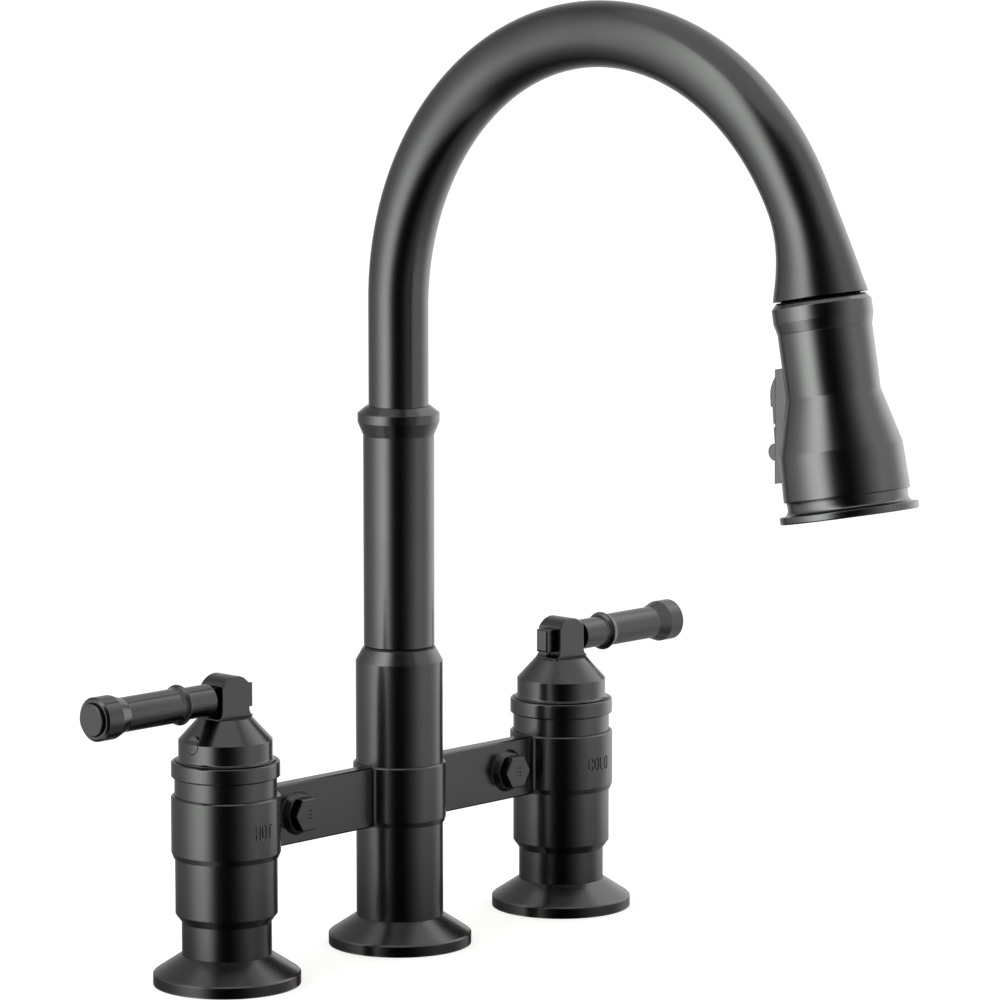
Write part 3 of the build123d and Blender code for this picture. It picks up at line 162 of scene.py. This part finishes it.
# the brush lines run round local z and repeat along it
def blackCoating(name, turn=(0, 0, 0), stretch=40, changes=None):
    look = {**blackCoat, **(changes or {})}
    material, tree = newMaterial(name)
    spot = millimetres(tree, turn)
    lines = addNode(tree, "ShaderNodeMapping", {
        "Scale": (1 / stretch, 1 / stretch, 1 / look["lineSpacing"])}, {"Vector": spot.outputs["Vector"]})
    brush = addNode(tree, "ShaderNodeTexNoise", {"Scale": 1.0, "Detail": 4.0, "Roughness": 0.6},
                    {"Vector": lines.outputs["Vector"]})
    cloud = addNode(tree, "ShaderNodeTexNoise", {"Scale": 1 / look["cloudSize"], "Detail": 3.0},
                    {"Vector": spot.outputs["Vector"]})
    grain = addNode(tree, "ShaderNodeTexNoise", {"Scale": 1 / look["grain"], "Detail": 2.0},
                    {"Vector": spot.outputs["Vector"]})
    tone = addNode(tree, "ShaderNodeMath", {
        "operation": "MULTIPLY_ADD", 1: look["lineTone"], 2: look["baseTone"]}, {0: brush.outputs["Fac"]})
    share = addNode(tree, "ShaderNodeMath", {"operation": "MULTIPLY_ADD", 1: look["cloudTone"]},
                    {0: cloud.outputs["Fac"], 2: tone.outputs["Value"]})
    height = addNode(tree, "ShaderNodeMath", {"operation": "MULTIPLY_ADD", 1: look["grainHeight"]},
                     {0: grain.outputs["Fac"], 2: brush.outputs["Fac"]})
    paintSurface(tree, look, share.outputs["Value"], brush.outputs["Fac"], height.outputs["Value"])
    return material


# moulded or machined surface; sizes in mm, and a stretch of 0.05 draws the grain out 20 times
plainLook = {
    "edge": 0.25,
    "metallic": 0.0,
    "stretch": (1, 1, 1),
    "mixRange": (0.7, 1.3),   # where most of the grain and the cloud together lies
    "toneRange": (0, 1),
}
turnedRings = (0.05, 0.05, 1)
drawnStreaks = (1, 1, 0.05)


def grainedSurface(name, changes):
    look = {**plainLook, **changes}
    material, tree = newMaterial(name)
    spot = millimetres(tree)
    fine = addNode(tree, "ShaderNodeMapping", {"Scale": look["stretch"]}, {"Vector": spot.outputs["Vector"]})
    grain = addNode(tree, "ShaderNodeTexNoise", {"Scale": 1 / look["grain"], "Detail": 3.0},
                    {"Vector": fine.outputs["Vector"]})
    cloud = addNode(tree, "ShaderNodeTexNoise", {"Scale": 1 / look["cloud"], "Detail": 2.0},
                    {"Vector": spot.outputs["Vector"]})
    both = addNode(tree, "ShaderNodeMath", {"operation": "ADD"},
                   {0: grain.outputs["Fac"], 1: cloud.outputs["Fac"]})
    mixLow, mixHigh = look["mixRange"]
    share = addNode(tree, "ShaderNodeMapRange", {"From Min": mixLow, "From Max": mixHigh},
                    {"Value": both.outputs["Value"]})
    paintSurface(tree, look, share.outputs["Result"], grain.outputs["Fac"], grain.outputs["Fac"])
    return material


# where the bell and the wand point
outlet = {
    "mouth": (0, -0.2278896, 0.2902899),
    "tilt": 10.5,             # degrees from straight down
}
outletMouth = Vector(outlet["mouth"])
outletTilt = math.radians(outlet["tilt"])
outletDown = Vector((0, -math.sin(outletTilt), -math.cos(outletTilt)))
alongOutlet = (outlet["tilt"], 0, 0)

# woven polyester sleeve of the spray hose: dark crossing strands, with painted shade in the gaps between them
hoseSleeve = {
    "light": "#3D3D3F",
    "dark": "#171718",
    "strands": 14.0,          # each way round the hose
    "strandPitch": 2.6,       # mm along the hose
    "roughness": 0.48,
    "bump": 0.5,
    "bumpDepth": 0.0004,      # metres
}


# a weave round local z, whose middle is at place
def wovenSleeve(name, place=(0, 0, 0), turn=(0, 0, 0)):
    material, tree = newMaterial(name)
    spot = addNode(tree, "ShaderNodeTexCoord")
    along = addNode(tree, "ShaderNodeMapping", {
        "vector_type": "TEXTURE", "Location": place, "Rotation": inRadians(turn)},
        {"Vector": spot.outputs["Object"]})
    split = addNode(tree, "ShaderNodeSeparateXYZ", {}, {"Vector": along.outputs["Vector"]})
    around = addNode(tree, "ShaderNodeMath", {"operation": "ARCTAN2"},
                     {0: split.outputs["Y"], 1: split.outputs["X"]})
    turns = addNode(tree, "ShaderNodeMath", {"operation": "MULTIPLY", 1: hoseSleeve["strands"]},
                    {0: around.outputs["Value"]})
    waves = []
    for way in (1, -1):
        pitch = way * 2 * mmPerMetre * math.pi / hoseSleeve["strandPitch"]
        twist = addNode(tree, "ShaderNodeMath", {"operation": "MULTIPLY_ADD", 1: pitch},
                        {0: split.outputs["Z"], 2: turns.outputs["Value"]})
        waves.append(addNode(tree, "ShaderNodeMath", {"operation": "SINE"}, {0: twist.outputs["Value"]}))
    weave = addNode(tree, "ShaderNodeMath", {"operation": "MAXIMUM"},
                    {0: waves[0].outputs["Value"], 1: waves[1].outputs["Value"]})
    # painted shade: the colour follows the height of the weave, darkest in the gaps between strands
    colour = addNode(tree, "ShaderNodeValToRGB", {}, {"Fac": weave.outputs["Value"]})
    rampStops(colour, ((0, linearColor(hoseSleeve["dark"])), (1, linearColor(hoseSleeve["light"]))))
    bump = addNode(tree, "ShaderNodeBump", {
        "Strength": hoseSleeve["bump"], "Distance": hoseSleeve["bumpDepth"]},
        {"Height": weave.outputs["Value"]})
    shader = addNode(tree, "ShaderNodeBsdfPrincipled", {"Roughness": hoseSleeve["roughness"]},
                     {"Base Color": colour.outputs["Color"], "Normal": bump.outputs["Normal"]})
    addNode(tree, "ShaderNodeOutputMaterial", {}, {"Surface": shader.outputs["BSDF"]})
    return material


finishes = {
    # coated brass, turned upright: faint level lines round each column
    "blackUpright": blackCoating("blackCoatedBrassUpright"),
    # the same on the levers: faint lines round each grip
    "blackLever": blackCoating("blackCoatedBrassLever", turn=(0, 90, 0)),
    # the wand is a touch paler and glossier than the rest
    "blackWand": blackCoating("blackCoatedZincWand", turn=alongOutlet, changes={
        "light": "#616261", "dark": "#585958", "roughness": (0.185, 0.215)}),
    # the bridge bar, brushed along its length: longer lines
    "blackBar": blackCoating("blackCoatedBrassBar", stretch=60),
    # the bent neck: marks so short that they suit every direction of the bend
    "blackNeck": blackCoating("blackCoatedBrassNeck", stretch=3),
    # nitrile rubber, moulded: dull and slightly uneven
    "rubber": grainedSurface("nitrileRubberMoulded", {
        "light": "#2B2B2B", "dark": "#1D1D1E", "roughness": (0.62, 0.8),
        "grain": 0.5, "cloud": 12, "bump": 0.2}),
    # silicone, moulded: soft dark grey, a little lighter than the metal's shadows
    "nozzleRubber": grainedSurface("siliconeMoulded", {
        "light": "#3B3B3D", "dark": "#303032", "roughness": (0.5, 0.65),
        "grain": 0.4, "cloud": 8, "bump": 0.12}),
    # stainless steel, turned: fine bright rings
    "steel": grainedSurface("stainlessSteelTurned", {
        "light": "#C9C9C7", "dark": "#B4B4B3", "roughness": (0.25, 0.42),
        "grain": 0.6, "cloud": 9, "bump": 0.06, "metallic": 1.0, "stretch": turnedRings}),
    # brass, turned and left bare under the deck: warm, with tool rings
    "brass": grainedSurface("brassTurned", {
        "light": "#D9B36B", "dark": "#C39A4F", "roughness": (0.24, 0.4),
        "grain": 0.6, "cloud": 14, "bump": 0.06, "metallic": 1.0, "stretch": turnedRings}),
    # copper, drawn: long faint streaks
    "copper": grainedSurface("copperDrawn", {
        "light": "#D98F6B", "dark": "#B86F4D", "roughness": (0.25, 0.4),
        "grain": 1.2, "cloud": 10, "bump": 0.05, "metallic": 1.0, "stretch": drawnStreaks}),
    # natural acetal, machined: milky white
    "acetal": grainedSurface("acetalNatural", {
        "light": "#DEDCD4", "dark": "#CFCDC4", "roughness": (0.4, 0.55),
        "grain": 0.6, "cloud": 9, "bump": 0.06}),
    # black acetal, moulded: deep and half matt
    "blackAcetal": grainedSurface("acetalBlack", {
        "light": "#1F1F20", "dark": "#161617", "roughness": (0.38, 0.5),
        "grain": 0.5, "cloud": 8, "bump": 0.08}),
    # plated nylon, moulded: paler and duller than the coated metal, with rounder edges
    "rocker": blackCoating("platedNylonMoulded", turn=alongOutlet, changes={
        "light": "#5F6160", "dark": "#585A59", "roughness": (0.3, 0.36), "edge": 0.7}),
    # the sleeve inside the spout, and the same weave on the stretch that is drawn out
    "braid": wovenSleeve("polyesterSleeve"),
    "braidPulled": wovenSleeve("polyesterSleevePulled", outlet["mouth"], alongOutlet),
}
print("finishes made:", len(finishes))

# which finish each carried node wears; the two valves are alike
carried = {
    "blackUpright": "column_flange spout_column spout_post spout_collar bridge_bolts flange valve_body "
                    "bonnet hub hub_plug lever_block",
    "blackLever": "lever_bar grip end_disc",
    "blackNeck": "gooseneck",
    "blackBar": "bridge_bar",
    "blackWand": "wand_collar wand_shell face_ring",
    "rocker": "rocker_panel spray_rocker",
    "nozzleRubber": "spray_face",
    "blackAcetal": "stream_insert swivel_bush",
    "acetal": "wand_waterway",
    "rubber": "flange_gaskets rubber_washers spout_orings",
    "steel": "steel_washers retaining_clip rocker_pin dock_magnet set_screw",
    "brass": "column_shank valve_nuts column_nut mixing_insert hose_nut hose_fitting shank cartridge stem",
    "copper": "outlet_tube",
    "braid": "spray_hose",
}
finishOf = {piece: finish for finish, pieces in carried.items() for piece in pieces.split()}
for name, node in nodes.items():
    finish = finishOf[name.removeprefix("hot_").removeprefix("cold_")]
    node.data.materials.clear()
    node.data.materials.append(finishes[finish])
print("carried nodes finished")

# stretch of hose that shows between the bell and the wand when the wand is pulled out
pulledHose = {
    "radius": 0.00555,
    "top": -0.0072,           # along the outlet from the mouth of the bell
    "foot": -0.0004,
    "rings": 72,
    "sides": 32,
}
rings, sides = pulledHose["rings"], pulledHose["sides"]
hoseOut = outletDown.cross(Vector((1, 0, 0)))
hosePoints = []
for i in range(rings):
    along = pulledHose["top"] + (pulledHose["foot"] - pulledHose["top"]) * i / (rings - 1)
    for j in range(sides):
        turn = 2 * math.pi * j / sides
        spoke = Vector((math.cos(turn), 0, 0)) + hoseOut * math.sin(turn)
        hosePoints.append(outletMouth + outletDown * along + spoke * pulledHose["radius"])
hosePiece = addObject("pulled_hose", hosePoints, ringFaces(rings, sides))
for face in hosePiece.data.polygons:
    face.use_smooth = True
hosePiece.data.materials.append(finishes["braidPulled"])
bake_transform(hosePiece)
print("hose stretch made")


def flatSquare(name, half):
    corners = [(-half, -half, 0), (half, -half, 0), (half, half, 0), (-half, half, 0)]
    return addObject(name, corners, [(0, 1, 2, 3)])


def onlyMetalSees(card):
    for rayKind in ("camera", "diffuse", "shadow", "transmission", "volume_scatter"):
        setattr(card, "visible_" + rayKind, False)


# 1 where the eye sees it straight, mirrored or through glass, and 0 where it lights dull surfaces
def seenByEye(tree):
    rays = addNode(tree, "ShaderNodeLightPath")
    mirrored = addNode(tree, "ShaderNodeMath", {"operation": "MAXIMUM"},
                       {0: rays.outputs["Is Camera Ray"], 1: rays.outputs["Is Glossy Ray"]})
    seen = addNode(tree, "ShaderNodeMath", {"operation": "MAXIMUM"},
                   {0: mirrored.outputs["Value"], 1: rays.outputs["Is Transmission Ray"]})
    return seen.outputs["Value"]


# plain white floor that keeps the shadow
floorLook = {"colour": "#BEBEBC", "lift": 0.66, "half": 30}
studioFloor = flatSquare("studioFloor", floorLook["half"])
studioFloor.visible_glossy = False            # the metal sees the cards instead
floorPaint, tree = newMaterial("paleStudioFloor")
lift = addNode(tree, "ShaderNodeMath", {"operation": "MULTIPLY", 1: floorLook["lift"]}, {0: seenByEye(tree)})
dull = addNode(tree, "ShaderNodeBsdfDiffuse", {"Color": linearColor(floorLook["colour"])})
glow = addNode(tree, "ShaderNodeEmission", {"Color": (1, 1, 1, 1)}, {"Strength": lift.outputs["Value"]})
both = addNode(tree, "ShaderNodeAddShader", {}, {0: dull.outputs["BSDF"], 1: glow.outputs["Emission"]})
addNode(tree, "ShaderNodeOutputMaterial", {}, {"Surface": both.outputs["Shader"]})
studioFloor.data.materials.append(floorPaint)

# white all round, a little dimmer where it lights dull surfaces
surround = {"white": 1.0, "fill": 0.8}
world = bpy.data.worlds.new("studio")
scene.world = world
world.use_nodes = True
tree = world.node_tree
tree.nodes.clear()
strength = addNode(tree, "ShaderNodeMapRange", {"To Min": surround["fill"], "To Max": surround["white"]},
                   {"Value": seenByEye(tree)})
air = addNode(tree, "ShaderNodeBackground", {"Color": (1, 1, 1, 1)}, {"Strength": strength.outputs["Result"]})
addNode(tree, "ShaderNodeOutputWorld", {}, {"Surface": air.outputs["Background"]})

# wide ring of studio cards, which only the metal sees: softboxes at the left and behind at the right, and a
# dark flag on the camera's side
cards = {
    "middle": (0, -0.1, 0),
    "hub": 0.001,             # radius of the pinhole in the middle of the mat
    "radius": 5.0,
    "foot": -1.0,
    "height": 8.0,
    "matInner": 0.8,          # the mat far below is dimmest inside this radius
    "matOuter": 3.8,
    "matLevel": 0.6,
    "sides": 96,
    "brightest": 4.0,
    # degrees to the right of the camera's side, brightness
    "levels": (
        (-180, 0.7), (-150, 0.4), (-132, 0.4), (-111, 0.7), (-95, 1.0), (-81, 1.7), (-66, 3.0), (-50, 3.8),
        (-40, 3.0), (-31, 1.2), (-22, 0.12), (-10, 0.015), (8, 0.015), (20, 0.08), (30, 0.2), (40, 0.4),
        (57, 0.85), (69, 1.1), (90, 1.0), (105, 1.15), (118, 1.9), (135, 2.1), (155, 1.2), (180, 0.7)),
}
toCamera = Vector((photoCamera["place"][0], photoCamera["place"][1] - cards["middle"][1], 0)).normalized()
toRight = Vector((-toCamera.y, toCamera.x, 0))
cardRings = (
    (cards["hub"], cards["foot"]), (cards["radius"], cards["foot"]), (cards["radius"], cards["height"]))
cardPoints = []
for radius, height in cardRings:
    for j in range(cards["sides"]):
        turn = 2 * math.pi * j / cards["sides"]
        cardPoints.append((radius * math.cos(turn), radius * math.sin(turn), height))
studioCards = addObject("studioCards", cardPoints, ringFaces(len(cardRings), cards["sides"]))
studioCards.location = cards["middle"]
onlyMetalSees(studioCards)
cardPaint, tree = newMaterial("paintedStudioCards")
cardPaint.cycles.emission_sampling = "NONE"
place = addNode(tree, "ShaderNodeTexCoord").outputs["Object"]
sideways = addNode(tree, "ShaderNodeVectorMath", {"operation": "DOT_PRODUCT", 1: toRight}, {0: place})
towards = addNode(tree, "ShaderNodeVectorMath", {"operation": "DOT_PRODUCT", 1: toCamera}, {0: place})
compass = addNode(tree, "ShaderNodeMath", {"operation": "ARCTAN2"},
                  {0: sideways.outputs["Value"], 1: towards.outputs["Value"]})
share = addNode(tree, "ShaderNodeMapRange", {"From Min": -math.pi, "From Max": math.pi},
                {"Value": compass.outputs["Value"]})
levels = addNode(tree, "ShaderNodeValToRGB", {}, {"Fac": share.outputs["Result"]})
rampStops(levels, [
    ((angle + 180) / 360, [level / cards["brightest"]] * 3 + [1]) for angle, level in cards["levels"]])
flatPlace = addNode(tree, "ShaderNodeVectorMath", {"operation": "MULTIPLY", 1: (1, 1, 0)}, {0: place})
reach = addNode(tree, "ShaderNodeVectorMath", {"operation": "LENGTH"}, {0: flatPlace.outputs["Vector"]})
far = addNode(tree, "ShaderNodeMapRange", {
    "interpolation_type": "SMOOTHSTEP", "From Min": cards["matInner"], "From Max": cards["matOuter"],
    "To Min": cards["matLevel"], "To Max": 1.0}, {"Value": reach.outputs["Value"]})
power = addNode(tree, "ShaderNodeMath", {"operation": "MULTIPLY", 1: cards["brightest"]},
                {0: far.outputs["Result"]})
glow = addNode(tree, "ShaderNodeEmission", {},
               {"Color": levels.outputs["Color"], "Strength": power.outputs["Value"]})
addNode(tree, "ShaderNodeOutputMaterial", {}, {"Surface": glow.outputs["Emission"]})
studioCards.data.materials.append(cardPaint)

# sheet of painted shade on the floor, which only the metal sees: it dims the cards that the metal reflects
# near the deck
veil = {
    "half": 1.6,
    "height": 0.0004,
    "squeeze": 0.6,           # it is wider along the row of columns
    # distance in metres, share let through
    "levels": ((0, 0.2), (0.1, 0.38), (0.2, 0.62), (0.35, 0.84), (0.7, 0.95), (1.2, 1)),
}
deckShadeVeil = flatSquare("deckShadeVeil", veil["half"])
deckShadeVeil.location = (0, 0, veil["height"])
onlyMetalSees(deckShadeVeil)
veilPaint, tree = newMaterial("paintedShadeDeckVeil")
place = addNode(tree, "ShaderNodeTexCoord").outputs["Object"]
oval = addNode(tree, "ShaderNodeVectorMath", {
    "operation": "MULTIPLY", 1: (veil["squeeze"], 1, 0)}, {0: place})
away = addNode(tree, "ShaderNodeVectorMath", {"operation": "LENGTH"}, {0: oval.outputs["Vector"]})
fade = addNode(tree, "ShaderNodeMapRange", {"From Max": veil["half"]}, {"Value": away.outputs["Value"]})
tint = addNode(tree, "ShaderNodeValToRGB", {}, {"Fac": fade.outputs["Result"]})
rampStops(tint, [(distance / veil["half"], [level] * 3 + [1]) for distance, level in veil["levels"]])
# painted shade: the sheet lets less of the cards through near the middle, so the low parts reflect darker
glass = addNode(tree, "ShaderNodeBsdfTransparent", {}, {"Color": tint.outputs["Color"]})
addNode(tree, "ShaderNodeOutputMaterial", {}, {"Surface": glass.outputs["BSDF"]})
deckShadeVeil.data.materials.append(veilPaint)

# two soft lamps for the dull surfaces and the shadow on the floor
softBoxes = {
    # angle in degrees right of the camera's side, sizes in metres
    "keySoftBox": {"angle": -57, "height": 0.9, "distance": 1.6, "width": 0.95, "tall": 1.2, "radiance": 2.2},
    "rimSoftBox": {"angle": 124, "height": 0.9, "distance": 1.6, "width": 0.9, "tall": 1.2, "radiance": 1.4},
}
aim = Vector((0, -0.11, 0.2))
for name, box in softBoxes.items():
    angle = math.radians(box["angle"])
    way = toCamera * math.cos(angle) + toRight * math.sin(angle)
    lampData = bpy.data.lights.new(name, "AREA")
    lampData.shape = "RECTANGLE"
    lampData.size, lampData.size_y = box["width"], box["tall"]
    lampData.energy = box["radiance"] * math.pi * box["width"] * box["tall"]
    lamp = bpy.data.objects.new(name, lampData)
    lamp.location = aim + way * box["distance"] + Vector((0, 0, box["height"] - aim.z))
    lamp.rotation_euler = (aim - lamp.location).to_track_quat("-Z", "Y").to_euler()
    lamp.visible_camera = False
    lamp.visible_glossy = False
    scene.collection.objects.link(lamp)
scene.view_settings.view_transform = "Standard"
print("studio lit")
